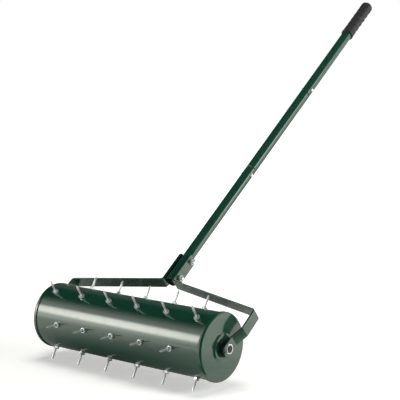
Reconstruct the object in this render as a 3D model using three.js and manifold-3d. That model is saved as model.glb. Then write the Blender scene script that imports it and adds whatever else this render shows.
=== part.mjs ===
// Walk-behind lawn aerator: a steel roller set with rows of spikes, carried between the
// two arms of a flat-bar yoke on a three-section tubular handle with a rubber grip.
// Millimetres, +Z up, the roller's axle along X and the handle leaning away along +Y.

import * as THREE from 'three';
import { mergeVertices } from 'three/addons/utils/BufferGeometryUtils.js';
import Module from 'manifold-3d';

const wasm = await Module();
wasm.setup();

// Clearances, and how far a cutting tool runs past what it cuts
const fit = 0.3;
const overrun = 6;
const weldDistance = 0.0005;

// Roller: a rolled shell closed by two pressed end caps
const drumLength = 536;
const shellRadius = 78.5;
const shellWall = 1.2;
const capWall = 2;
const rimDepth = 10;
const rimRounding = 8;
const hubRise = 3.2;
const hubFootRadius = 34;
const hubFaceRadius = 30;

// Spikes: studs held by a hex nut on each side of the shell
const spikeRows = 6;
const spikesInWideRow = 6;
const spikeInset = 40.5;
const spikeReach = 36;
const spikeRadius = 2.5;
const spikeTaper = 7;
const spikePointRadius = 0.8;
const spikeStudTail = 3;
const spikeNutWidth = 12;
const spikeNutHeight = 6;

// Axle: a bar shouldered down to a thread at each end, in flanged bushes
const axleRadius = 9;
const axleThreadRadius = 7;
const axleProud = 1;
const axleNutWidth = 22;
const axleNutHeight = 7;
const bushWall = 3;
const bushLength = 14;
const bushFlangeRadius = 20;
const bushFlangeThickness = 2.8;
const washerRadius = 14;
const washerThickness = 4;

// Yoke: two mirrored flat bars, each folded four times
const handleAngle = 38;
const barWidth = 30;
const barThickness = 4;
const barOffset = -5;
const foldRadius = 4;
const tabTail = 15;
const tabFrontCornerRadius = 12;
const tabBackCornerRadius = 3;
const joggleStart = 27;
const joggleRun = 30;
const joggleOut = 13;
const spikeClearance = 7.6;
const crossRiseShare = 0.164;
const clampBoltRise = 19.5;
const clampBoltSpacing = 55;
const earBeyondBolt = 15;
const earCornerRadius = 9;

// Handle: three tubes, the middle one necked down at both ends to enter the others
const tubeRadius = 14;
const tubeWall = 1.2;
const tubeTail = 17;
const lowerTubeLength = 411;
const middleTubeLength = 411;
const upperTubeLength = 401;
const neckLength = 50;
const neckTaper = 2;
const jointBoltInset = 19;

// Grip: a rubber sleeve with finger hollows along its underside and a domed end
const gripLength = 143;
const gripRadius = 17;
const gripEndWall = 10;
const gripDome = 12;
const gripLipLength = 4;
const gripLipHeight = 0.8;
const fingerHollows = 5;
const fingerPitch = 20;
const fingerDepth = 2.2;
const fingerTopShare = 0.15;

// Fasteners
const clampBoltRadius = 4;
const clampNutWidth = 13;
const clampNutHeight = 6.5;
const clampHeadHeight = 5.3;
const clampBoltProud = 4;
const jointBoltRadius = 2.5;
const jointHeadRadius = 5;
const jointHeadHeight = 3.2;
const jointNutWidth = 8;
const jointNutHeight = 4;
const jointBoltProud = 1.5;

// Facets
const drumSides = 42;
const tubeSides = 24;
const axleSides = 20;
const boltSides = 12;
const spikeSides = 6;
const gripSides = 16;
const hexSides = 6;
const bendSteps = 3;
const rimSteps = 3;
const shoulderSteps = 4;
const domeSteps = 4;
const hollowSteps = 5;

// Places along the axle, from the middle of the drum outwards, and round it
const capFace = drumLength / 2;
const hubFace = capFace + hubRise;
const shellEnd = capFace - rimRounding - fit;
const capRadius = shellRadius + fit + capWall;
const spikePitch = (drumLength - 2 * spikeInset) / (spikesInWideRow - 1);
const spikeTipRadius = shellRadius + spikeReach;
const bushRadius = axleRadius + fit + bushWall;
const bushFace = hubFace + fit + bushFlangeThickness;
const tabInner = bushFace + fit + washerThickness + fit;
const tabOuter = tabInner + barThickness;
const axleNutInner = tabOuter + fit;
const axleEnd = axleNutInner + axleNutHeight + axleProud;

// Places along the yoke and the handle, from the axle upwards
const armOuter = tabOuter + joggleOut;
const outermostSpike = capFace - spikeInset;
const crossThickness = barThickness * Math.hypot(1, crossRiseShare);
const cornerHeight = spikeTipRadius + spikeClearance + crossThickness
  - crossRiseShare * (armOuter - outermostSpike);
const earInner = tubeRadius + fit;
const earOuter = earInner + barThickness;
const earFoot = cornerHeight + crossRiseShare * (armOuter - earOuter);
const clampHeights = [earFoot + clampBoltRise, earFoot + clampBoltRise + clampBoltSpacing];
const earTop = clampHeights[1] + earBeyondBolt;
const lowerTubeStart = clampHeights[0] - tubeTail;
const lowerTubeEnd = lowerTubeStart + lowerTubeLength;
const middleTubeStart = lowerTubeEnd + fit;
const middleTubeEnd = middleTubeStart + middleTubeLength - 2 * neckLength;
const upperTubeStart = middleTubeEnd + fit;
const upperTubeEnd = upperTubeStart + upperTubeLength;
const gripEnd = upperTubeEnd + fit + gripEndWall;
const gripStart = gripEnd - gripLength;
const jointHeights = [lowerTubeEnd - jointBoltInset, upperTubeStart + jointBoltInset];
const neckRadius = tubeRadius - tubeWall - fit;

// Materials
const greenPaint = new THREE.MeshStandardMaterial({ color: 0x14382c, roughness: 0.25, metalness: 0.1 });
const zinc = new THREE.MeshStandardMaterial({ color: 0xc4c8c6, roughness: 0.35, metalness: 0.9 });
const blackRubber = new THREE.MeshStandardMaterial({ color: 0x242526, roughness: 0.7, metalness: 0 });
const blackNylon = new THREE.MeshStandardMaterial({ color: 0x1c1d1d, roughness: 0.5, metalness: 0 });
const bareSteel = new THREE.MeshStandardMaterial({ color: 0x6e7472, roughness: 0.45, metalness: 0.9 });

// A closed geometry as a solid, with its faces turned outwards
function solidFrom(geometry) {
  const bare = new THREE.BufferGeometry();
  bare.setAttribute('position', geometry.getAttribute('position'));
  bare.setIndex(geometry.index);
  const merged = mergeVertices(bare, weldDistance);
  const corners = merged.getAttribute('position');
  const faces = [];
  const a = new THREE.Vector3();
  const b = new THREE.Vector3();
  const c = new THREE.Vector3();
  let volume = 0;
  for (let i = 0; i < merged.index.count; i += 3) {
    const face = [merged.index.getX(i), merged.index.getX(i + 1), merged.index.getX(i + 2)];
    if (new Set(face).size < face.length) continue;
    faces.push(face);
    a.fromBufferAttribute(corners, face[0]);
    b.fromBufferAttribute(corners, face[1]);
    c.fromBufferAttribute(corners, face[2]);
    volume += a.dot(b.cross(c));
  }
  const outward = volume > 0 ? faces : faces.map((face) => [face[0], face[2], face[1]]);
  return new wasm.Manifold(new wasm.Mesh({
    numProp: 3,
    vertProperties: Float32Array.from(corners.array),
    triVerts: Uint32Array.from(outward.flat()),
  }));
}

function geometryFrom(solid) {
  const mesh = solid.getMesh();
  const geometry = new THREE.BufferGeometry();
  geometry.setAttribute('position', new THREE.BufferAttribute(mesh.vertProperties, mesh.numProp));
  geometry.setIndex(new THREE.BufferAttribute(mesh.triVerts, 1));
  geometry.computeVertexNormals();
  return geometry;
}

function piece(name, solid, material) {
  const mesh = new THREE.Mesh(geometryFrom(solid), material);
  mesh.name = name;
  return mesh;
}

// Solids turned about Y from [radius, height] points
function turned(profile, sides) {
  const points = profile.map(([radius, height]) => new THREE.Vector2(radius, height));
  return new THREE.LatheGeometry(points, sides);
}

// The same, turned about X, with the heights along +X
function turnedAboutX(profile, sides) {
  return solidFrom(turned(profile, sides).rotateZ(-Math.PI / 2));
}

function ringProfile(innerRadius, outerRadius, start, end) {
  return [[innerRadius, start], [outerRadius, start], [outerRadius, end], [innerRadius, end],
    [innerRadius, start]];
}

function rodProfile(radius, start, end) {
  return [[0, start], [radius, start], [radius, end], [0, end]];
}

// A round cutter along X through the point (0, y, z), long enough to pass the whole yoke
function crossDrill(radius, y, z, reach) {
  const drill = turned(rodProfile(radius, -reach, reach), boltSides);
  return solidFrom(drill.rotateZ(-Math.PI / 2).translate(0, y, z));
}

// A hexagonal prism along X, its width measured across the flats
function hexPrism(width, start, end) {
  const cornerRadius = width / 2 / Math.cos(Math.PI / hexSides);
  return turnedAboutX(rodProfile(cornerRadius, start, end), hexSides);
}

function hexNut(width, holeRadius, start, end) {
  const hole = turnedAboutX(rodProfile(holeRadius, start - overrun, end + overrun), boltSides);
  return hexPrism(width, start, end).subtract(hole);
}

// Roller shell: an open tube with a hole for every spike
function spikePlaces() {
  const places = [];
  for (let row = 0; row < spikeRows; row += 1) {
    const count = row % 2 === 0 ? spikesInWideRow : spikesInWideRow - 1;
    for (let i = 0; i < count; i += 1) {
      const angle = row / spikeRows * 2 * Math.PI;
      places.push({ row, i, angle, x: (i - (count - 1) / 2) * spikePitch });
    }
  }
  return places;
}

function shellSolid() {
  const tube = ringProfile(shellRadius - shellWall, shellRadius, -shellEnd, shellEnd);
  let shell = turnedAboutX(tube, drumSides);
  const drillStart = shellRadius - shellWall - overrun;
  const drillEnd = shellRadius + overrun;
  for (const { angle, x } of spikePlaces()) {
    const drill = turned(rodProfile(spikeRadius + fit, drillStart, drillEnd), spikeSides);
    shell = shell.subtract(solidFrom(drill.rotateX(angle).translate(x, 0, 0)));
  }
  return shell;
}

// End cap: a skirt over the shell, a rounded rim, a flat disc and a raised hub face
function capSolid() {
  const outer = [[capRadius, capFace - rimDepth]];
  const inner = [[capRadius - capWall, capFace - rimDepth]];
  const rimCentre = [capRadius - rimRounding, capFace - rimRounding];
  for (let i = 0; i <= rimSteps; i += 1) {
    const turn = i / rimSteps * Math.PI / 2;
    const along = [Math.cos(turn), Math.sin(turn)];
    outer.push([rimCentre[0] + rimRounding * along[0], rimCentre[1] + rimRounding * along[1]]);
    const innerRounding = rimRounding - capWall;
    inner.push([rimCentre[0] + innerRounding * along[0], rimCentre[1] + innerRounding * along[1]]);
  }
  for (let i = 0; i <= shoulderSteps; i += 1) {
    const share = i / shoulderSteps;
    const radius = hubFootRadius + (hubFaceRadius - hubFootRadius) * share;
    const rise = hubRise * (1 - Math.cos(Math.PI * share)) / 2;
    outer.push([radius, capFace + rise]);
    inner.push([radius, capFace - capWall + rise]);
  }
  outer.push([bushRadius + fit, hubFace]);
  inner.push([bushRadius + fit, hubFace - capWall]);
  return turnedAboutX([...outer, ...inner.reverse(), outer[0]], drumSides);
}

// Flanged bush in the hub face, turned with its flange outwards
function bushSolid() {
  const bore = axleRadius + fit;
  const flangeBack = bushFace - bushFlangeThickness;
  const bushEnd = bushFace - bushLength;
  return turnedAboutX([[bore, bushEnd], [bushRadius, bushEnd], [bushRadius, flangeBack],
    [bushFlangeRadius, flangeBack], [bushFlangeRadius, bushFace], [bore, bushFace], [bore, bushEnd]],
  axleSides);
}

// Spike along +Y from the drum's middle line, with a nut on each side of the shell wall.
// The inner nut lies where its corners clear the curve of the shell.
function spikeSolid() {
  const nutCorner = spikeNutWidth / 2 / Math.cos(Math.PI / hexSides);
  const outerSeat = shellRadius + fit;
  const shellInside = (shellRadius - shellWall) * Math.cos(Math.PI / drumSides);
  const innerSeat = Math.sqrt(shellInside ** 2 - nutCorner ** 2) - fit;
  const innerNutEnd = innerSeat - spikeNutHeight;
  const studEnd = innerNutEnd - spikeStudTail;
  const tine = [[0, studEnd], [spikeRadius, studEnd], [spikeRadius, spikeTipRadius - spikeTaper],
    [spikePointRadius, spikeTipRadius], [0, spikeTipRadius]];
  const outerNut = rodProfile(nutCorner, outerSeat, outerSeat + spikeNutHeight);
  const innerNut = rodProfile(nutCorner, innerNutEnd, innerSeat);
  return solidFrom(turned(tine, spikeSides))
    .add(solidFrom(turned(outerNut, hexSides)))
    .add(solidFrom(turned(innerNut, hexSides)));
}

function axleSolid() {
  const shoulder = tabInner - fit;
  return turnedAboutX([[0, -axleEnd], [axleThreadRadius, -axleEnd], [axleThreadRadius, -shoulder],
    [axleRadius, -shoulder], [axleRadius, shoulder], [axleThreadRadius, shoulder],
    [axleThreadRadius, axleEnd], [0, axleEnd]], axleSides);
}

// A strip of plate bent along a line of [x, y] corners, lying to the left of that line
function foldedStrip(corners) {
  const right = [];
  const left = [];
  const leftOf = (direction) => new THREE.Vector2(-direction.y, direction.x);
  const points = corners.map(([x, y]) => new THREE.Vector2(x, y));
  points.forEach((corner, i) => {
    const before = i > 0 ? corner.clone().sub(points[i - 1]).normalize() : null;
    const after = i < points.length - 1 ? points[i + 1].clone().sub(corner).normalize() : null;
    if (!before || !after) {
      const side = leftOf(before ?? after).multiplyScalar(barThickness);
      right.push(corner.clone());
      left.push(corner.clone().add(side));
      return;
    }
    const turn = Math.atan2(before.cross(after), before.dot(after));
    const towards = Math.sign(turn);
    const rightRadius = towards > 0 ? foldRadius + barThickness : foldRadius;
    const leftRadius = towards > 0 ? foldRadius : foldRadius + barThickness;
    const setback = rightRadius * Math.tan(Math.abs(turn) / 2);
    const inward = leftOf(before).multiplyScalar(towards);
    const centre = corner.clone().addScaledVector(before, -setback).addScaledVector(inward, rightRadius);
    const origin = new THREE.Vector2();
    for (let step = 0; step <= bendSteps; step += 1) {
      const spoke = inward.clone().negate().rotateAround(origin, turn * step / bendSteps);
      right.push(centre.clone().addScaledVector(spoke, rightRadius));
      left.push(centre.clone().addScaledVector(spoke, leftRadius));
    }
  });
  return [...right, ...left.reverse()];
}

// The bar's outline seen square to its flat: its tab is rounded off in front and nearly
// square behind, and its ear has rounded corners
function barPlan() {
  const low = barOffset - barWidth / 2;
  const high = barOffset + barWidth / 2;
  const plan = new THREE.Shape();
  const [front, back] = [tabFrontCornerRadius, tabBackCornerRadius];
  plan.absarc(front - tabTail, high - front, front, Math.PI / 2, Math.PI, false);
  plan.absarc(back - tabTail, low + back, back, Math.PI, Math.PI * 3 / 2, false);
  plan.lineTo(earTop - earCornerRadius, low);
  plan.absarc(earTop - earCornerRadius, low + earCornerRadius, earCornerRadius, -Math.PI / 2, 0, false);
  plan.lineTo(earTop, high - earCornerRadius);
  plan.absarc(earTop - earCornerRadius, high - earCornerRadius, earCornerRadius, 0, Math.PI / 2, false);
  plan.closePath();
  const reach = armOuter + overrun;
  const blank = new THREE.ExtrudeGeometry(plan, {
    depth: 2 * reach, bevelEnabled: false, curveSegments: boltSides / 2,
  });
  blank.translate(0, 0, -reach);
  // the plan's x runs up the yoke, its y across the bar's width and its depth along X
  blank.applyMatrix4(new THREE.Matrix4().makeBasis(
    new THREE.Vector3(0, 1, 0), new THREE.Vector3(0, 0, 1), new THREE.Vector3(1, 0, 0),
  ));
  return solidFrom(blank);
}

// One yoke bar: tab, joggle, arm, cross bar and ear. Side is 1 on the right, -1 on the left.
function yokeBarSolid(side) {
  const corners = [[tabOuter, -tabTail - overrun], [tabOuter, joggleStart],
    [armOuter, joggleStart + joggleRun], [armOuter, cornerHeight], [earOuter, earFoot],
    [earOuter, earTop + overrun]];
  const outline = foldedStrip(corners).map((point) => new THREE.Vector2(side * point.x, point.y));
  const blank = new THREE.ExtrudeGeometry(new THREE.Shape(outline), {
    depth: barWidth + 2 * overrun, bevelEnabled: false,
  });
  blank.translate(0, 0, barOffset - barWidth / 2 - overrun);
  const reach = armOuter + overrun;
  let bar = solidFrom(blank).intersect(barPlan());
  bar = bar.subtract(crossDrill(axleThreadRadius + fit, 0, 0, reach));
  for (const height of clampHeights) {
    bar = bar.subtract(crossDrill(clampBoltRadius + fit, height, barOffset, reach));
  }
  return bar;
}

// Tubes of the handle, drilled across for their bolts
function tubeSolid(profile, drills) {
  let tube = solidFrom(turned(profile, tubeSides));
  for (const { radius, height } of drills) {
    tube = tube.subtract(crossDrill(radius + fit, height, 0, tubeRadius + overrun));
  }
  return tube;
}

function middleTubeSolid() {
  const neckInside = neckRadius - tubeWall;
  const boreInside = tubeRadius - tubeWall;
  const low = middleTubeStart - neckLength;
  const high = middleTubeEnd + neckLength;
  const profile = [[neckInside, low], [neckRadius, low], [neckRadius, middleTubeStart],
    [tubeRadius, middleTubeStart + neckTaper], [tubeRadius, middleTubeEnd - neckTaper],
    [neckRadius, middleTubeEnd], [neckRadius, high], [neckInside, high],
    [neckInside, middleTubeEnd - neckTaper], [boreInside, middleTubeEnd - 2 * neckTaper],
    [boreInside, middleTubeStart + 2 * neckTaper], [neckInside, middleTubeStart + neckTaper],
    [neckInside, low]];
  return tubeSolid(profile, jointHeights.map((height) => ({ radius: jointBoltRadius, height })));
}

// Rubber grip: a turned sleeve whose underside is drawn in between the fingers
function gripSolid() {
  const lipEnd = gripStart + gripLipLength;
  const firstHollow = (gripStart + gripEnd - (fingerHollows - 1) * fingerPitch) / 2;
  const hollowStart = firstHollow - fingerPitch / 2;
  const hollowLength = fingerHollows * fingerPitch;
  const domeStart = gripEnd - gripDome;
  const profile = [[0, gripStart], [gripRadius + gripLipHeight, gripStart],
    [gripRadius + gripLipHeight, lipEnd - gripLipHeight], [gripRadius, lipEnd]];
  for (let i = 0; i <= fingerHollows * hollowSteps; i += 1) {
    profile.push([gripRadius, hollowStart + hollowLength * i / (fingerHollows * hollowSteps)]);
  }
  for (let i = 0; i <= domeSteps; i += 1) {
    const turn = i / domeSteps * Math.PI / 2;
    profile.push([gripRadius * Math.cos(turn), domeStart + gripDome * Math.sin(turn)]);
  }
  const sleeve = turned(profile, gripSides);
  const corners = sleeve.getAttribute('position');
  for (let i = 0; i < corners.count; i += 1) {
    const along = (corners.getY(i) - hollowStart) / fingerPitch;
    if (along < 0 || along > fingerHollows) continue;
    const wave = ((1 - Math.cos(2 * Math.PI * along)) / 2) ** 2;
    const radius = Math.hypot(corners.getX(i), corners.getZ(i));
    const under = (1 - corners.getZ(i) / radius) / 2;
    const drawnIn = fingerDepth * wave * (fingerTopShare + (1 - fingerTopShare) * under);
    const share = (radius - drawnIn) / radius;
    corners.setX(i, corners.getX(i) * share);
    corners.setZ(i, corners.getZ(i) * share);
  }
  const boreTop = gripEnd - gripEndWall;
  const bore = turned(rodProfile(tubeRadius + fit, gripStart - overrun, boreTop), tubeSides);
  return solidFrom(sleeve).subtract(solidFrom(bore));
}

// Hex bolt across the clamp, its head on the left and its thread on the right
function clampBoltSolid() {
  const seat = earOuter + fit;
  const threadEnd = seat + clampNutHeight + clampBoltProud;
  const shank = turnedAboutX(rodProfile(clampBoltRadius, -seat - clampHeadHeight / 2, threadEnd), boltSides);
  return hexPrism(clampNutWidth, -seat - clampHeadHeight, -seat).add(shank);
}

// Round-headed bolt across a handle joint, its head on the right
function jointBoltSolid() {
  const seat = tubeRadius + fit;
  const tail = -seat - jointNutHeight - jointBoltProud;
  const profile = [[0, tail], [jointBoltRadius, tail], [jointBoltRadius, seat], [jointHeadRadius, seat]];
  for (let i = 1; i <= domeSteps; i += 1) {
    const turn = i / domeSteps * Math.PI / 2;
    profile.push([jointHeadRadius * Math.cos(turn), seat + jointHeadHeight * Math.sin(turn)]);
  }
  return turnedAboutX(profile, boltSides);
}

// Roller, turning about X
const drum = new THREE.Group();
drum.add(piece('drum_shell', shellSolid(), greenPaint));
for (const [side, turn] of [['right', 0], ['left', Math.PI]]) {
  const cap = piece(`end_cap_${side}`, capSolid(), greenPaint);
  const bush = piece(`hub_bush_${side}`, bushSolid(), blackNylon);
  cap.rotation.z = turn;
  bush.rotation.z = turn;
  drum.add(cap, bush);
}
for (const { row, i, angle, x } of spikePlaces()) {
  const spike = piece(`spike_${row + 1}_${i + 1}`, spikeSolid(), zinc);
  spike.rotation.x = angle;
  spike.position.x = x;
  drum.add(spike);
}

// Yoke and handle, built with Y up the handle and turned down to its angle
const frame = new THREE.Group();
frame.rotation.x = THREE.MathUtils.degToRad(handleAngle);
frame.add(piece('axle_rod', axleSolid(), bareSteel));
for (const [side, turn] of [['right', 0], ['left', Math.PI]]) {
  const washerStart = bushFace + fit;
  const washerEnd = washerStart + washerThickness;
  const washerRing = ringProfile(axleRadius + fit, washerRadius, washerStart, washerEnd);
  const washer = piece(`axle_washer_${side}`, turnedAboutX(washerRing, axleSides), zinc);
  const nutSolid = hexNut(axleNutWidth, axleThreadRadius + fit, axleNutInner, axleNutInner + axleNutHeight);
  const nut = piece(`axle_nut_${side}`, nutSolid, zinc);
  washer.rotation.z = turn;
  nut.rotation.z = turn;
  frame.add(washer, nut);
}
frame.add(piece('yoke_bar_right', yokeBarSolid(1), greenPaint));
frame.add(piece('yoke_bar_left', yokeBarSolid(-1), greenPaint));

const handle = new THREE.Group();
handle.position.z = barOffset;
frame.add(handle);
const clampDrills = clampHeights.map((height) => ({ radius: clampBoltRadius, height }));
const jointDrills = jointHeights.map((height) => ({ radius: jointBoltRadius, height }));
const tubeBore = tubeRadius - tubeWall;
handle.add(piece('handle_tube_lower', tubeSolid(
  ringProfile(tubeBore, tubeRadius, lowerTubeStart, lowerTubeEnd), [...clampDrills, jointDrills[0]],
), greenPaint));
handle.add(piece('handle_tube_middle', middleTubeSolid(), greenPaint));
handle.add(piece('handle_tube_upper', tubeSolid(
  ringProfile(tubeBore, tubeRadius, upperTubeStart, upperTubeEnd), [jointDrills[1]],
), greenPaint));
handle.add(piece('handle_grip', gripSolid(), blackRubber));
['lower', 'upper'].forEach((place, i) => {
  const clampSeat = earOuter + fit;
  const clampNutSolid = hexNut(clampNutWidth, clampBoltRadius + fit, clampSeat, clampSeat + clampNutHeight);
  const clampBolt = piece(`clamp_bolt_${place}`, clampBoltSolid(), zinc);
  const clampNut = piece(`clamp_nut_${place}`, clampNutSolid, zinc);
  clampBolt.position.y = clampHeights[i];
  clampNut.position.y = clampHeights[i];
  const jointSeat = -tubeRadius - fit;
  const jointNutSolid = hexNut(jointNutWidth, jointBoltRadius + fit, jointSeat - jointNutHeight, jointSeat);
  const jointBolt = piece(`joint_bolt_${place}`, jointBoltSolid(), zinc);
  const jointNut = piece(`joint_nut_${place}`, jointNutSolid, zinc);
  jointBolt.position.y = jointHeights[i];
  jointNut.position.y = jointHeights[i];
  handle.add(clampBolt, clampNut, jointBolt, jointNut);
});

// The origin lies on the ground, under the middle of the aerator's box
const aerator = new THREE.Group();
aerator.add(drum, frame);
aerator.updateMatrixWorld(true);
const box = new THREE.Box3().setFromObject(aerator, true);
const middle = box.getCenter(new THREE.Vector3());
aerator.position.set(-middle.x, -middle.y, -box.min.z);

export default aerator;
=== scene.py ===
"""Looks of a walk-behind lawn aerator: a spiked roller in a flat-bar yoke, on a handle of
three tubes with a rubber grip. Lengths are in metres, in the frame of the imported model."""

import math
import random

import bmesh
import bpy
from mathutils import Matrix, Vector


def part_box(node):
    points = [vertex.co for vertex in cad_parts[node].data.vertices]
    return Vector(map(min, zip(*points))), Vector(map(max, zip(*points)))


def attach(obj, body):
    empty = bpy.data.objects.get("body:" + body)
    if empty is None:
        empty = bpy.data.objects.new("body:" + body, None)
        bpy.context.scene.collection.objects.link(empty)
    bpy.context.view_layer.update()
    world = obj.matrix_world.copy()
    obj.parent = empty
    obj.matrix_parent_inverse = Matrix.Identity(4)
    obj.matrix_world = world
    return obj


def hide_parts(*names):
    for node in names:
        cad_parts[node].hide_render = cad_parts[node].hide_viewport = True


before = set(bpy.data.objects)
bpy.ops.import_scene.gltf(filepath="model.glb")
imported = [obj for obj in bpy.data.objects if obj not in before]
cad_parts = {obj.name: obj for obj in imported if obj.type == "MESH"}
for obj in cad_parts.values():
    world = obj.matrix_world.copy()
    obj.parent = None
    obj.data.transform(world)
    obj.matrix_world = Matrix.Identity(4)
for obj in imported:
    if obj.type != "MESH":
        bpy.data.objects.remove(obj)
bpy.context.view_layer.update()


# Roller shell: sheet steel rolled into a tube, its long seam welded and ground flush, then
# enamelled dark green. The end caps are pushed on over its two ends.
mm = 0.001
full_turn = 2 * math.pi
axle_low, axle_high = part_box("axle_rod")
onto_axle = Matrix.Translation((axle_low + axle_high) / 2)
shell_radius = 78.5 * mm
shell_wall = 1.2 * mm
shell_end = 259.7 * mm
roller_steps = 180
roller_roughness = (0.11, 0.17)
weld = 0.002 * mm
crease_angle = math.radians(32)
noise_low, noise_high = 0.3, 0.7
deep_green = (0.0080, 0.0560, 0.0345, 1)
worn_green = (0.0095, 0.0640, 0.0400, 1)
enamel_ior = 1.95
enamel_tint = (0.98, 1.0, 0.90, 1)


def turned(outline, steps, closed=True, finer=None):
    """A shape turned about X from an outline of (x, radius) points. finer is the number of
    one line of the outline, and the number of cuts that divide it."""
    shape = bmesh.new()
    corners = [shape.verts.new((x, 0, radius)) for x, radius in outline]
    lines = [shape.edges.new(pair) for pair in zip(corners, corners[1:])]
    if closed:
        lines.append(shape.edges.new((corners[-1], corners[0])))
    if finer:
        number, cuts = finer
        bmesh.ops.subdivide_edges(shape, edges=[lines[number]], cuts=cuts)
    bmesh.ops.spin(shape, geom=shape.verts[:] + shape.edges[:], cent=(0, 0, 0), axis=(1, 0, 0),
                   angle=full_turn, steps=steps, use_merge=True, use_duplicate=False)
    bmesh.ops.remove_doubles(shape, verts=shape.verts, dist=weld)
    bmesh.ops.recalc_face_normals(shape, faces=shape.faces)
    return shape


def place(shape, matrix):
    """Moves a shape to where it goes."""
    bmesh.ops.transform(shape, matrix=matrix, verts=shape.verts)
    return shape


def new_object(name, shape, coating):
    """An object of the scene, made of a shape, which is used up, in one coating."""
    mesh = bpy.data.meshes.new(name)
    shape.to_mesh(mesh)
    shape.free()
    mesh.materials.append(coating)
    thing = bpy.data.objects.new(name, mesh)
    bpy.context.scene.collection.objects.link(thing)
    return thing


def finish_piece(name, shape, coating, body, slot, *nodes):
    """Makes a shape a shown piece, which rides on its body and stands for its CAD nodes."""
    for face in shape.faces:
        face.smooth = True
    for edge in shape.edges:
        edge.smooth = len(edge.link_faces) == 2 and edge.calc_face_angle() < crease_angle
    piece = new_object(name, shape, coating)
    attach(piece, body)
    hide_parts(*nodes)
    return piece


def new_material(name):
    """A material, its node tree, its surface shader and its Object coordinates."""
    material = bpy.data.materials.new(name)
    material.use_nodes = True
    tree = material.node_tree
    where = tree.nodes.new("ShaderNodeTexCoord").outputs["Object"]
    return material, tree, tree.nodes["Principled BSDF"], where


def mottle(tree, where, scale, detail, stretch=(1, 1, 1)):
    """Noise of so many waves a metre, as a value about 0.5."""
    mapping = tree.nodes.new("ShaderNodeMapping")
    mapping.inputs["Scale"].default_value = stretch
    noise = tree.nodes.new("ShaderNodeTexNoise")
    noise.inputs["Scale"].default_value = scale
    noise.inputs["Detail"].default_value = detail
    tree.links.new(where, mapping.inputs["Vector"])
    tree.links.new(mapping.outputs["Vector"], noise.inputs["Vector"])
    return noise.outputs["Fac"]


def rescale(tree, value, start, end, low, high, curve="LINEAR"):
    """Turns a value that runs from start to end into one that runs from low to high."""
    limits = tree.nodes.new("ShaderNodeMapRange")
    limits.interpolation_type = curve
    limits.inputs["From Min"].default_value = start
    limits.inputs["From Max"].default_value = end
    limits.inputs["To Min"].default_value = low
    limits.inputs["To Max"].default_value = high
    tree.links.new(value, limits.inputs["Value"])
    return limits.outputs["Result"]


def spread(tree, noise, low, high):
    """Turns noise into a value that runs from low to high."""
    return rescale(tree, noise, noise_low, noise_high, low, high)


def blend_colours(tree, share, first, second):
    """Goes from the first colour to the second as the share goes from 0 to 1."""
    mix = tree.nodes.new("ShaderNodeMix")
    mix.data_type = "RGBA"
    mix.inputs["A"].default_value = first
    mix.inputs["B"].default_value = second
    tree.links.new(share, mix.inputs["Factor"])
    return mix.outputs["Result"]


def relief(tree, height, depth, strength):
    """Turns noise into fine unevenness of a surface."""
    bump = tree.nodes.new("ShaderNodeBump")
    bump.inputs["Strength"].default_value = strength
    bump.inputs["Distance"].default_value = depth
    tree.links.new(height, bump.inputs["Height"])
    return bump.outputs["Normal"]


def green_enamel(name, roughness):
    """Baked gloss enamel: dark green with a faint mottle, orange peel and small dull patches.
    Its roughness runs from the first value to the second one."""
    material, tree, surface, where = new_material(name)
    cloud = spread(tree, mottle(tree, where, scale=9, detail=3), 0, 1)
    tree.links.new(blend_colours(tree, cloud, deep_green, worn_green),
                   surface.inputs["Base Color"])
    patches = mottle(tree, where, scale=55, detail=4)
    tree.links.new(spread(tree, patches, *roughness), surface.inputs["Roughness"])
    peel = mottle(tree, where, scale=420, detail=1)
    tree.links.new(relief(tree, peel, depth=0.06 * mm, strength=0.12), surface.inputs["Normal"])
    surface.inputs["IOR"].default_value = enamel_ior
    surface.inputs["Specular Tint"].default_value = enamel_tint
    return material


roller_enamel = green_enamel("roller_enamel", roller_roughness)
shell_bore = shell_radius - shell_wall
shell = turned([(-shell_end, shell_bore), (-shell_end, shell_radius), (shell_end, shell_radius),
                (shell_end, shell_bore)], roller_steps)
finish_piece("roller_shell", place(shell, onto_axle), roller_enamel, "drum", "drum_paint",
             "drum_shell")


# End caps: discs pressed from steel sheet with a skirt round the shell, a rounded rim that
# stands proud of it, and a raised boss for the bearing. Enamelled with the shell.
cap_face = 268.5 * mm
cap_radius = 80.8 * mm
cap_wall = 2 * mm
skirt_edge = 258 * mm
rim_rounding = 6.5 * mm
rim_steps = 10
boss_face = 271.2 * mm
boss_foot_radius = 34 * mm
boss_face_radius = 30 * mm
boss_hole_radius = 12.6 * mm
boss_rounding = 1 * mm
boss_steps = 4
sharp_angle = math.radians(25)
sides = {"right": 1, "left": -1}


def round_off(shape, parts, radius, steps, affect="EDGES"):
    """Rounds some of the edges or corners of a shape."""
    bmesh.ops.bevel(shape, geom=parts, offset=radius, offset_type="OFFSET", affect=affect,
                    segments=steps, profile=0.5, material=-1, clamp_overlap=True)


def soften(shape, radius, steps=2, only=None):
    """Rounds the sharp edges of a shape, or those of them that only() picks."""
    sharp = [e for e in shape.edges
             if len(e.link_faces) == 2 and e.calc_face_angle() > sharp_angle]
    round_off(shape, [e for e in sharp if only is None or only(e)], radius, steps)
    return shape


def even_shading(piece):
    """Keeps the flat faces of a piece flat beside its rounded edges."""
    piece.modifiers.new("even_shading", "WEIGHTED_NORMAL").keep_sharp = True


def on_rim(edge):
    return min(v.co.yz.length for v in edge.verts) > cap_radius - weld


def on_boss(edge):
    from_axis = [v.co.yz.length for v in edge.verts]
    return min(from_axis) > boss_face_radius - weld and max(from_axis) < boss_foot_radius + weld


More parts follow.
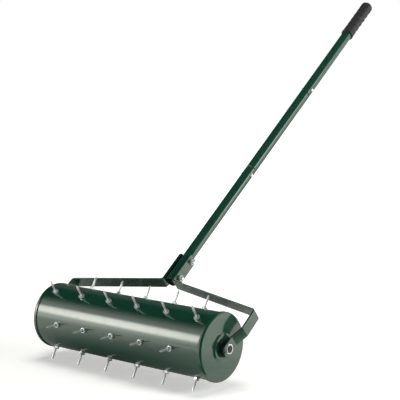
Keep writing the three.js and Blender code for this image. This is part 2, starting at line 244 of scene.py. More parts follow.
for side, way in sides.items():
    pressing = turned([(skirt_edge, cap_radius), (cap_face, cap_radius),
                       (cap_face, boss_foot_radius), (boss_face, boss_face_radius),
                       (boss_face, boss_hole_radius)], roller_steps, closed=False)
    soften(pressing, rim_rounding, rim_steps, on_rim)
    soften(pressing, boss_rounding, boss_steps, on_boss)
    place(pressing, onto_axle @ Matrix.Scale(way, 4, (1, 0, 0)))
    bmesh.ops.recalc_face_normals(pressing, faces=pressing.faces)
    outwards = sum(f.normal.x * f.calc_area() for f in pressing.faces) * way
    if outwards < 0:
        bmesh.ops.reverse_faces(pressing, faces=pressing.faces)
    cap = finish_piece(f"roller_cap_{side}", pressing, roller_enamel, "drum", "drum_paint",
                       f"end_cap_{side}")
    sheet = cap.modifiers.new("sheet_thickness", "SOLIDIFY")
    sheet.thickness = cap_wall
    sheet.offset = -1
    sheet.use_even_offset = True
    even_shading(cap)


# Bearing bushes: flanged nylon bushes pushed into the bosses, which turn with the roller
# on the axle. Black, with a faint moulded grain.
bush_bore = 9.3 * mm
bush_radius = 12.3 * mm
bush_flange_radius = 21.5 * mm
bush_face = 274.3 * mm
bush_flange = 2.8 * mm
bush_length = 14 * mm
bush_rounding = 0.4 * mm
turned_steps = 64
nylon_black = (0.003, 0.006, 0.0045, 1)
nylon_roughness = (0.42, 0.56)
end_for_end = Matrix.Rotation(math.pi, 4, "Z")


def outboard(way):
    """Where a piece that is drawn for the right end of the axle goes, at either end."""
    return onto_axle @ (Matrix() if way > 0 else end_for_end)


nylon, tree, surface, where = new_material("black_nylon")
surface.inputs["Base Color"].default_value = nylon_black
sheen = mottle(tree, where, scale=300, detail=3)
tree.links.new(spread(tree, sheen, *nylon_roughness), surface.inputs["Roughness"])
grain = mottle(tree, where, scale=1500, detail=2)
tree.links.new(relief(tree, grain, depth=0.05 * mm, strength=0.3), surface.inputs["Normal"])

bush_end = bush_face - bush_length
flange_back = bush_face - bush_flange
for side, way in sides.items():
    bush = turned([(bush_end, bush_bore), (bush_end, bush_radius), (flange_back, bush_radius),
                   (flange_back, bush_flange_radius), (bush_face, bush_flange_radius),
                   (bush_face, bush_bore)], turned_steps)
    soften(bush, bush_rounding)
    even_shading(finish_piece(f"bearing_bush_{side}", place(bush, outboard(way)), nylon, "drum",
                              "nylon", f"hub_bush_{side}"))


# Spikes: pointed studs of zinc-plated wire with a rolled thread at the shell, each held by
# one hex nut outside and one inside. Six rows, with six and five spikes in turn.
spike_rows = 6
spikes_in_wide_row = 6
spike_pitch = 91 * mm
spike_foot = 60.8 * mm
spike_tip = 114.5 * mm
spike_radius = 2.5 * mm
spike_taper = 7 * mm
spike_shoulder = 2.1 * mm
spike_shoulder_radius = 2 * mm
spike_point_radius = 0.8 * mm
spike_steps = 20
spike_nut_width = 12 * mm
spike_nut_height = 6 * mm
outer_nut_seat = 78.8 * mm
inner_nut_end = 64 * mm
nut_sides = 6
nut_corner_cut = 0.14
nut_turning_cuts = 24
nut_corner_slope = math.radians(30)
nut_countersink = 0.8 * mm
outer_nut_countersink = 1.4 * mm
nut_seed = 4
cut_weld = weld / 20
flat_angle = math.radians(1)
thread_pitch = 1 * mm
thread_depth = 0.3 * mm
thread_turns = 9
thread_start = outer_nut_seat - thread_pitch
bright_zinc = (0.96, 0.98, 0.97, 1)
dull_zinc = (0.86, 0.89, 0.88, 1)
zinc_metallic = 0.72
spike_roughness = (0.17, 0.34)
shaded_oily_steel = (0.050, 0.060, 0.056, 1)
shaded_dry_steel = (0.100, 0.112, 0.106, 1)
oily_roughness = (0.35, 0.55)
quarter_turn = full_turn / 4
upright = Matrix.Rotation(-quarter_turn, 4, "Y")


def shift(distance):
    """A move along X, the axis of the axle and of every bolt as it is drawn."""
    return Matrix.Translation((distance, 0, 0))


def roll(angle):
    """A turn about X."""
    return Matrix.Rotation(angle, 4, "X")


def zinc_plate(name, roughness):
    """Bright zinc plate over drawn or forged steel, clouded and with fine marks all over."""
    material, tree, surface, where = new_material(name)
    cloud = spread(tree, mottle(tree, where, scale=140, detail=3), 0, 1)
    tree.links.new(blend_colours(tree, cloud, bright_zinc, dull_zinc),
                   surface.inputs["Base Color"])
    surface.inputs["Metallic"].default_value = zinc_metallic
    marks = mottle(tree, where, scale=900, detail=3)
    tree.links.new(spread(tree, marks, *roughness), surface.inputs["Roughness"])
    tree.links.new(relief(tree, marks, depth=0.03 * mm, strength=0.25),
                   surface.inputs["Normal"])
    return material


def cut_off(shape, at, away):
    """Cuts off what lies past a plane, and gives the edges of the cut."""
    cut = bmesh.ops.bisect_plane(shape, geom=shape.verts[:] + shape.edges[:] + shape.faces[:],
                                 dist=cut_weld, plane_co=at, plane_no=away, clear_outer=True)
    return [e for e in cut["geom_cut"] if isinstance(e, bmesh.types.BMEdge)]


def hex_head(width, height):
    """A hex bolt head, or a nut before it is bored, along +X from 0. Its corners are turned
    off at both ends."""
    corner = width / 2 / math.cos(math.pi / nut_sides)
    head = turned([(0, 0), (0, corner), (height, corner), (height, 0)], nut_sides)
    for end, way in ((0, -1), (height, 1)):
        for i in range(nut_turning_cuts):
            around = full_turn * (i + 0.5) / nut_turning_cuts
            rim = Vector((0, math.cos(around), math.sin(around)))
            foot = Vector((end, 0, 0)) + rim * (width / 2 * (1 - nut_corner_cut / 3))
            away = (Vector((way * math.cos(nut_corner_slope), 0, 0))
                    + rim * math.sin(nut_corner_slope))
            cut = cut_off(head, foot, away)
            if cut:
                bmesh.ops.edgeloop_fill(head, edges=cut)
    bmesh.ops.remove_doubles(head, verts=head.verts, dist=weld)
    bmesh.ops.dissolve_limit(head, angle_limit=flat_angle, verts=head.verts, edges=head.edges)
    bmesh.ops.recalc_face_normals(head, faces=head.faces)
    return head


def hex_nut(width, height, bore_radius, countersink=nut_countersink):
    """A hex nut along +X from 0. Its countersink and hole are dark bare steel: painted shade."""
    nut = hex_head(width, height)
    face = max(nut.faces, key=lambda f: f.calc_center_median().x)
    face_radius = width / 2 * (1 - nut_corner_cut)
    bmesh.ops.inset_individual(nut, faces=[face], thickness=face_radius - bore_radius - countersink,
                               depth=0)
    walls = bmesh.ops.inset_individual(nut, faces=[face], thickness=countersink,
                                       depth=-countersink)["faces"]
    for bare in [face, *walls]:
        bare.material_index = 1
    return nut


def join(*shapes):
    """One shape made of several, which are used up."""
    whole = bmesh.new()
    for shape in shapes:
        part = bpy.data.meshes.new("part")
        shape.to_mesh(part)
        shape.free()
        whole.from_mesh(part)
        bpy.data.meshes.remove(part)
    return whole


def threaded(start, turns, pitch, radius, depth):
    """The outline of a thread as (x, radius) points, root and crest in turn."""
    points = []
    for i in range(turns):
        points += [(start + i * pitch, radius - depth), (start + (i + 0.5) * pitch, radius)]
    return points + [(start + turns * pitch, radius - depth)]


spike_zinc = zinc_plate("spike_zinc", spike_roughness)

# Dark bare steel for the nuts' countersinks and holes, darkened to paint the shade in them.
bare_thread_and_painted_shade, tree, surface, where = new_material("bare_thread_and_painted_shade")
surface.inputs["Metallic"].default_value = 1.0
oil = mottle(tree, where, scale=800, detail=2)
tree.links.new(blend_colours(tree, oil, shaded_oily_steel, shaded_dry_steel), surface.inputs["Base Color"])
tree.links.new(spread(tree, oil, *oily_roughness), surface.inputs["Roughness"])

stud = [(spike_foot, 0), (spike_foot, spike_radius), (thread_start - thread_pitch, spike_radius),
        *threaded(thread_start, thread_turns, thread_pitch, spike_radius, thread_depth),
        (thread_start + (thread_turns + 0.5) * thread_pitch, spike_radius),
        (spike_tip - spike_taper, spike_radius),
        (spike_tip - spike_shoulder, spike_shoulder_radius),
        (spike_tip, spike_point_radius), (spike_tip, 0)]
nut_turns = random.Random(nut_seed)
for row in range(spike_rows):
    in_row = spikes_in_wide_row - row % 2
    for i in range(in_row):
        outer_nut = hex_nut(spike_nut_width, spike_nut_height, spike_radius,
                            outer_nut_countersink)
        place(outer_nut, shift(outer_nut_seat) @ roll(nut_turns.random() * full_turn))
        inner_nut = hex_nut(spike_nut_width, spike_nut_height, spike_radius)
        place(inner_nut, shift(inner_nut_end))
        spike = join(turned(stud, spike_steps, closed=False), outer_nut, inner_nut)
        along = (i - (in_row - 1) / 2) * spike_pitch
        round_the_shell = roll(row / spike_rows * full_turn - quarter_turn)
        place(spike, onto_axle @ shift(along) @ round_the_shell @ upright)
        finish_piece(f"roller_spike_{row + 1}_{i + 1}", spike, spike_zinc, "drum", "spike_zinc",
                     f"spike_{row + 1}_{i + 1}").data.materials.append(bare_thread_and_painted_shade)


# Axle: a drawn steel bar through the roller, turned down and threaded at both ends, so
# that its nuts clamp the yoke's tabs hard against the shoulders.
axle_radius = 9 * mm
axle_shoulder = 278.6 * mm
axle_end = 291.2 * mm
axle_chamfer = 1 * mm
axle_thread_radius = 7 * mm
axle_thread_pitch = 2 * mm
axle_thread_depth = 0.7 * mm
axle_thread_turns = 5
dark_steel = (0.060, 0.070, 0.067, 1)
light_steel = (0.110, 0.122, 0.118, 1)
axle_roughness = (0.34, 0.50)
across_the_bar = (14, 1, 1)

drawn_steel, tree, surface, where = new_material("drawn_steel")
surface.inputs["Metallic"].default_value = 1.0
rings = mottle(tree, where, scale=260, detail=2, stretch=across_the_bar)
tree.links.new(blend_colours(tree, rings, dark_steel, light_steel), surface.inputs["Base Color"])
tree.links.new(spread(tree, rings, *axle_roughness), surface.inputs["Roughness"])
tree.links.new(relief(tree, rings, depth=0.05 * mm, strength=0.4), surface.inputs["Normal"])

right_half = [(axle_shoulder, axle_radius),
              *threaded(axle_shoulder, axle_thread_turns, axle_thread_pitch, axle_thread_radius,
                        axle_thread_depth),
              (axle_end - axle_chamfer, axle_thread_radius),
              (axle_end, axle_thread_radius - axle_chamfer), (axle_end, 0)]
left_half = [(-x, radius) for x, radius in reversed(right_half)]
bar = turned(left_half + right_half, turned_steps, closed=False)
even_shading(finish_piece("axle_bar", place(bar, onto_axle), drawn_steel, "frame", "axle_steel",
                          "axle_rod"))


# Axle washers and nuts: a thick black nylon washer inside each tab, and a plated hex nut
# outside it.
washer_bore = 9.3 * mm
washer_radius = 14 * mm
washer_start = 274.6 * mm
washer_end = 278.6 * mm
washer_rounding = 0.35 * mm
axle_nut_start = 283.2 * mm
axle_nut_height = 7 * mm
axle_nut_width = 22 * mm
axle_nut_turn = math.radians(17)
fastener_roughness = (0.15, 0.32)

fastener_zinc = zinc_plate("fastener_zinc", fastener_roughness)


def fastener(name, shape, node):
    """Makes a shape a plated bolt or nut, which stays with the yoke and handle."""
    return finish_piece(name, shape, fastener_zinc, "frame", "fastener_zinc", node)


for side, way in sides.items():
    washer = turned([(washer_start, washer_bore), (washer_start, washer_radius),
                     (washer_end, washer_radius), (washer_end, washer_bore)], turned_steps)
    soften(washer, washer_rounding)
    even_shading(finish_piece(f"tab_washer_{side}", place(washer, outboard(way)), nylon, "frame",
                              "nylon", f"axle_washer_{side}"))
    nut = hex_nut(axle_nut_width, axle_nut_height, axle_thread_radius)
    place(nut, outboard(way) @ shift(axle_nut_start) @ roll(axle_nut_turn))
    fastener(f"tab_nut_{side}", nut, f"axle_nut_{side}").data.materials.append(bare_thread_and_painted_shade)


# Yoke: two bars of flat steel, folded cold and enamelled. Each runs from its tab at the
# axle out through a joggle, up the arm, across over the spikes and up beside the tube.
handle_angle = math.radians(38)
up_the_yoke = onto_axle @ roll(handle_angle - quarter_turn)
bar_width = 30 * mm
bar_thickness = 4 * mm
bar_drop = 5 * mm
bar_front = bar_drop - bar_width / 2
bar_back = bar_drop + bar_width / 2
tab_end = -15 * mm
tab_face = 282.9 * mm
tab_front_rounding = 12 * mm
tab_back_rounding = 3 * mm
arm_face = 295.9 * mm
arm_top = 114.9403 * mm
joggle_start, joggle_end = 27 * mm, 57 * mm
ear_face = 18.3 * mm
ear_foot = 160.4667 * mm
ear_top = 249.9667 * mm
ear_rounding = 9 * mm
corner_steps = 9
fold_radius = 4 * mm
fold_steps = 7
bar_edge = 1.1 * mm
bar_edge_steps = 4
bar_edge_angle = math.radians(50)
yoke_roughness = (0.15, 0.21)

yoke_enamel = green_enamel("yoke_enamel", yoke_roughness)
fold_line = [Vector(point) for point in (
    (tab_face, tab_end), (tab_face, joggle_start), (arm_face, joggle_end), (arm_face, arm_top),
    (ear_face, ear_foot), (ear_face, ear_top))]
bar_corners = ((tab_end, bar_front, tab_front_rounding), (tab_end, bar_back, tab_back_rounding),
               (ear_top, bar_front, ear_rounding), (ear_top, bar_back, ear_rounding))
for side, way in sides.items():
    strip = bmesh.new()
    points = [strip.verts.new((x, bar_front, height)) for x, height in fold_line]
    runs = [strip.edges.new(pair) for pair in zip(points, points[1:])]
    swept = bmesh.ops.extrude_edge_only(strip, edges=runs)["geom"]
    bmesh.ops.translate(strip, vec=(0, bar_width, 0),
                        verts=[v for v in swept if isinstance(v, bmesh.types.BMVert)])
    for height, edge, radius in bar_corners:
        corner = [v for v in strip.verts
                  if abs(v.co.z - height) < weld and abs(v.co.y - edge) < weld]
        round_off(strip, corner, radius, corner_steps, affect="VERTICES")
    for before, fold, after in zip(fold_line, fold_line[1:], fold_line[2:]):
        into, out_of = (fold - before).normalized(), (after - fold).normalized()
        turn = math.atan2(into.cross(out_of), into.dot(out_of))
        outer_radius = fold_radius + (bar_thickness if turn > 0 else 0)
        at_fold = [e for e in strip.edges
                   if all((v.co.xz - fold).length < weld for v in e.verts)]
        round_off(strip, at_fold, outer_radius * math.tan(abs(turn) / 2), fold_steps)
    bmesh.ops.recalc_face_normals(strip, faces=strip.faces)
    outermost = max(strip.faces, key=lambda f: f.calc_center_median().x)
    if outermost.normal.x < 0:
        bmesh.ops.reverse_faces(strip, faces=strip.faces)
    place(strip, up_the_yoke @ Matrix.Scale(way, 4, (1, 0, 0)))
    if way < 0:
        bmesh.ops.reverse_faces(strip, faces=strip.faces)
    bar = finish_piece(f"yoke_{side}", strip, yoke_enamel, "frame", "frame_paint",
                       f"yoke_bar_{side}")
    plate = bar.modifiers.new("plate_thickness", "SOLIDIFY")
    plate.thickness = bar_thickness
    plate.offset = -1
    plate.use_even_offset = True
    rolled = bar.modifiers.new("rolled_edges", "BEVEL")
    rolled.width = bar_edge
    rolled.segments = bar_edge_steps
    rolled.limit_method = "ANGLE"
    rolled.angle_limit = bar_edge_angle
    even_shading(bar)


# Handle: three lengths of steel tube, enamelled. The middle one is necked down at both
# ends to slide into the lower and the upper one. The lower one's end is left open.
tube_radius = 14 * mm
tube_wall = 1.2 * mm
tube_bore = tube_radius - tube_wall
tube_edge = 0.35 * mm
tube_steps = 72
tube_ends = {"lower": (162.9667 * mm, 573.9667 * mm), "middle": (574.2667 * mm, 885.2667 * mm),
             "upper": (885.5667 * mm, 1286.5667 * mm)}
neck_radius = 12.5 * mm
neck_bore = neck_radius - tube_wall
neck_length = 50 * mm
neck_taper = 2 * mm
handle_roughness = (0.12, 0.18)


def on_handle(height):
    """A place so far up the middle line of the handle, with X across it."""
    return up_the_yoke @ Matrix.Translation((0, bar_drop, height))


handle_enamel = green_enamel("handle_enamel", handle_roughness)
along_handle = on_handle(0) @ upright
for name, (start, end) in tube_ends.items():
    outline = [(start, tube_bore), (start, tube_radius), (end, tube_radius), (end, tube_bore)]
    if name == "middle":
        outline = [(start - neck_length, neck_bore), (start - neck_length, neck_radius),
                   (start, neck_radius), (start + neck_taper, tube_radius),
                   (end - neck_taper, tube_radius), (end, neck_radius),
                   (end + neck_length, neck_radius), (end + neck_length, neck_bore),
                   (end - neck_taper, neck_bore), (end - 2 * neck_taper, tube_bore),
                   (start + 2 * neck_taper, tube_bore), (start + neck_taper, neck_bore)]
    tube = soften(turned(outline, tube_steps), tube_edge)
    even_shading(finish_piece(f"tube_{name}", place(tube, along_handle), handle_enamel, "frame",
                              "frame_paint", f"handle_tube_{name}"))


# Clamp bolts: two plated hex bolts that draw the yoke's ears together on the lower tube,
# each with its head on the left and its nut on the right.
clamps = {"lower": (179.9667 * mm, math.radians(8), math.radians(11)),
          "upper": (234.9667 * mm, math.radians(28), math.radians(36))}
clamp_seat = 18.6 * mm
clamp_width = 13 * mm
clamp_head_height = 5.3 * mm
clamp_nut_height = 6.5 * mm
clamp_proud = 4 * mm
clamp_bolt_radius = 4 * mm
clamp_thread_pitch = 1.25 * mm
clamp_thread_depth = 0.4 * mm
clamp_thread_turns = 8
bolt_steps = 32

clamp_start = -clamp_seat - clamp_head_height / 2
clamp_end = clamp_seat + clamp_nut_height + clamp_proud
shank = [(clamp_start, 0), (clamp_start, clamp_bolt_radius), (clamp_seat, clamp_bolt_radius),
         *threaded(clamp_seat, clamp_thread_turns, clamp_thread_pitch, clamp_bolt_radius,
                   clamp_thread_depth),
         (clamp_end, clamp_bolt_radius - 2 * clamp_thread_depth), (clamp_end, 0)]
for name, (height, head_turn, nut_turn) in clamps.items():
    head = hex_head(clamp_width, clamp_head_height)
    place(head, shift(-clamp_seat) @ end_for_end @ roll(head_turn))
    bolt = join(turned(shank, bolt_steps, closed=False), head)
    fastener(f"ear_bolt_{name}", place(bolt, on_handle(height)), f"clamp_bolt_{name}")
    nut = hex_nut(clamp_width, clamp_nut_height, clamp_bolt_radius)
    place(nut, on_handle(height) @ shift(clamp_seat) @ roll(nut_turn))
    fastener(f"ear_nut_{name}", nut, f"clamp_nut_{name}").data.materials.append(bare_thread_and_painted_shade)


# Joint bolts: a plated bolt with a round head on the right goes through each joint of the
# handle and the neck inside it, and a small hex nut on the left holds it.
joint_heights = {"lower": 554.9667 * mm, "upper": 904.5667 * mm}
joint_seat = 14.3 * mm
joint_bolt_radius = 2.5 * mm
joint_head_radius = 5 * mm
joint_head_height = 3.2 * mm
joint_head_rounding = 3.1 * mm
joint_head_steps = 6
joint_nut_width = 8 * mm
joint_nut_height = 4 * mm
joint_proud = 1.5 * mm

joint_end = -joint_seat - joint_nut_height - joint_proud
head_top = joint_seat + joint_head_height


def on_head_top(edge):
    return min(v.co.x for v in edge.verts) > head_top - weld


for name, height in joint_heights.items():
    bolt = turned([(joint_end, 0), (joint_end, joint_bolt_radius),
                   (joint_seat, joint_bolt_radius), (joint_seat, joint_head_radius),
                   (head_top, joint_head_radius), (head_top, 0)], bolt_steps, closed=False)
    soften(bolt, joint_head_rounding, joint_head_steps, on_head_top)
    fastener(f"joint_rivet_{name}", place(bolt, on_handle(height)), f"joint_bolt_{name}")
    nut = hex_nut(joint_nut_width, joint_nut_height, joint_bolt_radius)
    place(nut, on_handle(height) @ shift(-joint_seat) @ end_for_end)
    fastener(f"joint_back_nut_{name}", nut,
             f"joint_nut_{name}").data.materials.append(bare_thread_and_painted_shade)


# Grip: a moulded rubber sleeve pushed over the end of the handle, with a lip at its open
# end, a domed tip, and hollows for the fingers along its underside.
grip_start = 1153.8667 * mm
grip_end = 1296.8667 * mm
grip_radius = 17 * mm
grip_bore = 14.3 * mm
grip_end_wall = 10 * mm
grip_dome = 12 * mm
grip_tip_share = 0.02
grip_steps = 96
grip_long_line = 3
grip_long_line_cuts = 110
lip_length = 4 * mm
lip_height = 0.8 * mm
finger_hollows = 5
finger_pitch = 20 * mm
finger_depth = 2.2 * mm
finger_top_share = 0.15
clean_rubber = (0.026, 0.0265, 0.027, 1)
dusty_rubber = (0.038, 0.038, 0.039, 1)
rubber_roughness = (0.40, 0.55)

grip_rubber, tree, surface, where = new_material("grip_rubber")
dust = spread(tree, mottle(tree, where, scale=40, detail=4), 0, 1)
tree.links.new(blend_colours(tree, dust, clean_rubber, dusty_rubber),
               surface.inputs["Base Color"])
rubbed = mottle(tree, where, scale=120, detail=4)
tree.links.new(spread(tree, rubbed, *rubber_roughness), surface.inputs["Roughness"])
grain = mottle(tree, where, scale=1800, detail=2)
tree.links.new(relief(tree, grain, depth=0.12 * mm, strength=0.35), surface.inputs["Normal"])

lip_end = grip_start + lip_length
grip_floor = grip_end - grip_end_wall
sleeve = turned([(grip_start, grip_bore), (grip_start, grip_radius + lip_height),
                 (lip_end - lip_height, grip_radius + lip_height), (lip_end, grip_radius),
                 (grip_end, grip_radius), (grip_end, 0), (grip_floor, 0),
                 (grip_floor, grip_bore)], grip_steps,
                finer=(grip_long_line, grip_long_line_cuts))
hollow_start = (grip_start + grip_end - finger_hollows * finger_pitch) / 2
for corner in sleeve.verts:
    from_axis = corner.co.yz.length
    to_tip = (grip_end - corner.co.x) / grip_dome
    along = (corner.co.x - hollow_start) / finger_pitch
    if from_axis < grip_bore + weld:
        continue
    if to_tip < 1:
        corner.co.yz *= math.sqrt(max(1 - (1 - to_tip) ** 2, grip_tip_share ** 2))
    elif 0 < along < finger_hollows:
        wave = ((1 - math.cos(full_turn * along)) / 2) ** 2
        under = (1 + corner.co.y / from_axis) / 2
        drawn_in = finger_depth * wave * (finger_top_share + (1 - finger_top_share) * under)
        corner.co.yz *= (from_axis - drawn_in) / from_axis
finish_piece("grip_sleeve", place(sleeve, along_handle), grip_rubber, "frame", "grip_rubber",
             "handle_grip")


# Camera: a long lens at the front right of the tool, a little lower than its grip, which
# looks slightly down on the roller. Its place was fitted to the photograph.
camera_lens = 108
camera_sensor = 36
camera_far_end = 50
camera_place = (1.910329, -2.518453, 0.765413)
camera_tilt = math.radians(82.83)
camera_swing = math.radians(39.64)

bpy.context.scene.view_settings.view_transform = "Standard"
camera_data = bpy.data.cameras.new("camera")
camera_data.lens = camera_lens
camera_data.sensor_width = camera_sensor
camera_data.clip_end = camera_far_end
camera = bpy.data.objects.new("camera", camera_data)
camera.location = camera_place
camera.rotation_euler = (camera_tilt, 0, camera_swing)
bpy.context.scene.collection.objects.link(camera)
bpy.context.scene.camera = camera


# Surround: white to the eye, with a pale band near the horizon that lights the tool softly
# from all round. There are three soft lights on it, two on the left and one on the right.
low_sky, high_sky = 0.06, 0.42
low_sky_light, high_sky_light = 0.95, 0.02
white = (1, 1, 1, 1)

world = bpy.data.worlds.new("surround")
bpy.context.scene.world = world
world.use_nodes = True
sky = world.node_tree
direction = sky.nodes.new("ShaderNodeTexCoord").outputs["Generated"]


def reckon(tree, operation, first, second):
    """Adds or multiplies two values, or takes the larger one."""
    step = tree.nodes.new("ShaderNodeMath")
    step.operation = operation
    tree.links.new(first, step.inputs[0])
    tree.links.new(second, step.inputs[1])
    return step.outputs["Value"]


def in_sight(tree):
    """1 for what is seen straight, in gloss or through glass, and 0 for what gives light."""
    rays = tree.nodes.new("ShaderNodeLightPath").outputs
    seen = rays["Is Camera Ray"]
    for ray in ("Is Glossy Ray", "Is Transmission Ray"):
        seen = reckon(tree, "MAXIMUM", seen, rays[ray])
    return seen


def part_of(tree, vector, axis):
    """One of the three values of a vector."""
    split = tree.nodes.new("ShaderNodeSeparateXYZ")
    tree.links.new(vector, split.inputs["Vector"])
    return split.outputs[axis]


def glow(azimuth, elevation, tilt, reach, stretch, strength):
    """A soft light on the surround, full in its middle and gone past its reach. Its stretch
    widens it from side to side, before its tilt. Angles are in degrees."""
    towards = direction
    for turn in ((0, 0, -azimuth), (0, elevation, 0), (tilt, 0, 0)):
        mapping = sky.nodes.new("ShaderNodeMapping")
        mapping.vector_type = "VECTOR"
        mapping.inputs["Rotation"].default_value = [math.radians(angle) for angle in turn]
        sky.links.new(towards, mapping.inputs["Vector"])
        towards = mapping.outputs["Vector"]
    stretched = sky.nodes.new("ShaderNodeVectorMath")
    stretched.operation = "MULTIPLY"
    stretched.inputs[1].default_value = (1, 1 / stretch, 1)
    sky.links.new(towards, stretched.inputs[0])
    unit = sky.nodes.new("ShaderNodeVectorMath")
    unit.operation = "NORMALIZE"
    sky.links.new(stretched.outputs["Vector"], unit.inputs[0])
    return rescale(sky, part_of(sky, unit.outputs["Vector"], "X"),
                   math.cos(math.radians(reach)), 1, 0, strength, "SMOOTHSTEP")


backing = sky.nodes.new("ShaderNodeMix")
backing.inputs["B"].default_value = 1.0
sky.links.new(in_sight(sky), backing.inputs["Factor"])
sky.links.new(rescale(sky, part_of(sky, direction, "Z"), low_sky, high_sky, low_sky_light,
                      high_sky_light, "SMOOTHSTEP"), backing.inputs["A"])
light = backing.outputs["Result"]
for soft_light in (glow(-136, 21, tilt=-21, reach=13, stretch=0.8, strength=5.4),
                   glow(-141, 5, tilt=-43, reach=12.6, stretch=1.6, strength=1.5),
                   glow(28, 17, tilt=0, reach=12, stretch=1.0, strength=3.0)):
    light = reckon(sky, "ADD", light, soft_light)
sky.links.new(light, sky.nodes["Background"].inputs["Strength"])
sky.nodes["Background"].inputs["Color"].default_value = white


# Floor: plain pale board, matt. It glows white to the eye away from the tool, and less near
# the tool, which paints a pool of shade there, seen straight and in gloss, over the soft
# shadow it keeps.
floor_radius = 12
floor_sides = 64
floor_pale = (0.95, 0.945, 0.90, 1)
shadow_middle = (0, -0.4)
shadow_reach = (0.4, 2.4)
in_metres = (1, 1)
shaded_near_glow, far_glow = 0.42, 1.0


def stand(name, shape, coating):
    """Makes a shape an object of the scene, in one coating."""
    thing = new_object(name, shape, coating)
    return thing


def from_spot(tree, where, spot, reach):
    """How far a place is from a spot on the plan, as a share of the reach on each axis."""
    centred = tree.nodes.new("ShaderNodeMapping")
    centred.inputs["Scale"].default_value = (1 / reach[0], 1 / reach[1], 0)
    centred.inputs["Location"].default_value = (-spot[0] / reach[0], -spot[1] / reach[1], 0)
    tree.links.new(where, centred.inputs["Vector"])
    length = tree.nodes.new("ShaderNodeVectorMath")
    length.operation = "LENGTH"
    tree.links.new(centred.outputs["Vector"], length.inputs[0])
    return length.outputs["Value"]


board, tree, surface, where = new_material("pale_floor")
board.cycles.emission_sampling = "NONE"
surface.inputs["Base Color"].default_value = floor_pale
surface.inputs["Roughness"].default_value = 1.0
surface.inputs["Specular IOR Level"].default_value = 0.0
surface.inputs["Emission Color"].default_value = white
away_from_tool = from_spot(tree, where, shadow_middle, in_metres)
# The glow drops near the tool: a painted pool of shade, straight and in gloss.
glow_with_painted_shade = rescale(tree, away_from_tool, *shadow_reach, shaded_near_glow, far_glow, "SMOOTHSTEP")
tree.links.new(reckon(tree, "MULTIPLY", in_sight(tree), glow_with_painted_shade),
               surface.inputs["Emission Strength"])
floor = bmesh.new()
bmesh.ops.create_circle(floor, cap_ends=True, radius=floor_radius, segments=floor_sides)
stand("floor", floor, board)


# Black sheets, seen in nothing but the gloss: mats, cards, a ceiling, a screen and a backdrop.
# They paint dark reflections on the enamel and the zinc, and the mats, the strip and the card
# under the cap paint the floor's shade round the roller into the gloss.
painted_reflection_black = (0.012, 0.012, 0.012, 1)
sheet_sides = 48
back_right = (0.72, 0.69, 0)
back_left = (-0.766, 0.643, 0)
screen_middle = (0.27, -0.457)
screen_line = [(0.03, 0.009), (1.1, 0.009), (1.5, 0.6), (1.6, 2.4), (1.0, 3.0)]
backdrop_middle = (0, -0.457)
backdrop_line = [(3, 0.05), (3, 3.2)]
past_the_sheet = (9, 9)


def painted_reflection_sheet(name, shape, spot, reach, density, solid_share):
    """A black sheet, seen only in gloss, solid round a spot and thinning out at its reach."""
    sheet_finish, tree, surface, where = new_material(name)
    surface.inputs["Base Color"].default_value = painted_reflection_black
    surface.inputs["Roughness"].default_value = 1.0
    surface.inputs["Specular IOR Level"].default_value = 0.0
    from_middle = from_spot(tree, where, spot, reach)
    tree.links.new(rescale(tree, from_middle, solid_share, 1, density, 0, "SMOOTHSTEP"),
                   surface.inputs["Alpha"])
    hung = stand(name, shape, sheet_finish)
    hung.visible_camera = hung.visible_diffuse = hung.visible_shadow = False


def flat_reflection_sheet(name, height, spot, size, density, solid_share, reach=None, cut=None):
    """A round or oval sheet that lies flat, cut off past a plane where cut gives one."""
    oval = bmesh.new()
    bmesh.ops.create_circle(oval, cap_ends=True, radius=1, segments=sheet_sides)
    place(oval, Matrix.Translation((*spot, height)) @ Matrix.Diagonal((*size, 1, 1)))
    if cut:
        cut_off(oval, *cut)
    painted_reflection_sheet(name, oval, spot, reach or size, density, solid_share)


def hang_round(middle, line, start, sweep, steps):
    """A sheet hung in an arc round a middle, from a line of (radius, height) points."""
    arc = bmesh.new()
    corners = [arc.verts.new((radius, 0, height)) for radius, height in line]
    edges = [arc.edges.new(pair) for pair in zip(corners, corners[1:])]
    place(arc, Matrix.Rotation(math.radians(start), 4, "Z"))
    bmesh.ops.spin(arc, geom=corners + edges, cent=(0, 0, 0), axis=(0, 0, 1),
                   angle=math.radians(sweep), steps=steps, use_merge=False, use_duplicate=False)
    return place(arc, Matrix.Translation((*middle, 0)))
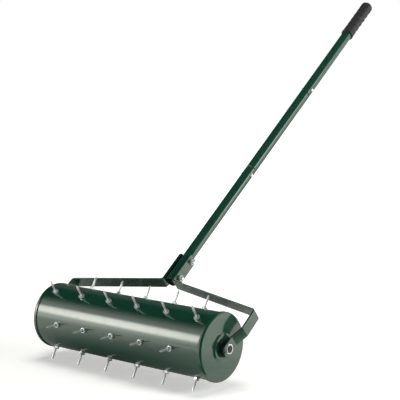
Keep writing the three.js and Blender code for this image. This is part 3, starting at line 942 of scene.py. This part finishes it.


# Near the roller they paint the floor's shade in gloss; the rest paint dark reflections.
flat_reflection_sheet("painted_reflection_ceiling", 4.0, (0, 0.4), (8, 4.5), density=1.0, solid_share=0.3,
           reach=(30, 4.5))
flat_reflection_sheet("painted_shade_mat", 0.003, (-0.08, -0.47), (0.52, 0.30), density=0.85, solid_share=0)
flat_reflection_sheet("painted_shade_mat_front", 0.004, (0.24, -0.60), (0.78, 0.90), density=0.5, solid_share=0,
           cut=((0.264, -0.56, 0), back_right))
flat_reflection_sheet("painted_shade_strip_behind", 0.005, (-0.15, -0.35), (0.38, 0.12), density=0.7,
           solid_share=0.2)
flat_reflection_sheet("painted_reflection_card_right", 0.007, (0.42, -0.36), (0.20, 0.20), density=0.3, solid_share=0.2)
flat_reflection_sheet("painted_shade_card_under", 0.006, (0.262, -0.545), (0.09, 0.09), density=0.9,
           solid_share=0.5, cut=((0.270, -0.54, 0), back_left))
flat_reflection_sheet("painted_reflection_card_far", 0.008, (0.70, 0.05), (0.45, 0.45), density=0.15, solid_share=0)
flat_reflection_sheet("painted_reflection_mat_behind", 0.010, (-0.10, 2.40), (1.5, 2.6), density=0.9, solid_share=0.5)

screen = hang_round(screen_middle, screen_line, start=-60, sweep=98, steps=20)
cut_off(screen, (0.27, -0.545, 0), back_left)
painted_reflection_sheet("painted_reflection_screen", screen, screen_middle, past_the_sheet, density=1.0, solid_share=0.9)
backdrop = hang_round(backdrop_middle, backdrop_line, start=88, sweep=72, steps=16)
painted_reflection_sheet("painted_reflection_backdrop", backdrop, backdrop_middle, past_the_sheet, density=0.9,
            solid_share=0.9)


# Lamps: two round soft boxes, a wide one overhead and a small one on the right, each aimed
# at the roller. The gloss doesn't mirror them.
lamps = (("overhead", 3.5, 175, (-0.2, 0.4, 6.0), (0, -0.35, 0.1)),
         ("side_fill", 1.2, 22, (2.2, 0.3, 1.1), (0.2, -0.45, 0.1)))

for name, width, watts, spot, aim in lamps:
    lamp_data = bpy.data.lights.new(name, "AREA")
    lamp_data.shape = "DISK"
    lamp_data.size = width
    lamp_data.energy = watts
    lamp = bpy.data.objects.new(name, lamp_data)
    lamp.location = spot
    lamp.rotation_euler = (Vector(spot) - Vector(aim)).to_track_quat("Z", "Y").to_euler()
    lamp.visible_glossy = False
    bpy.context.scene.collection.objects.link(lamp)
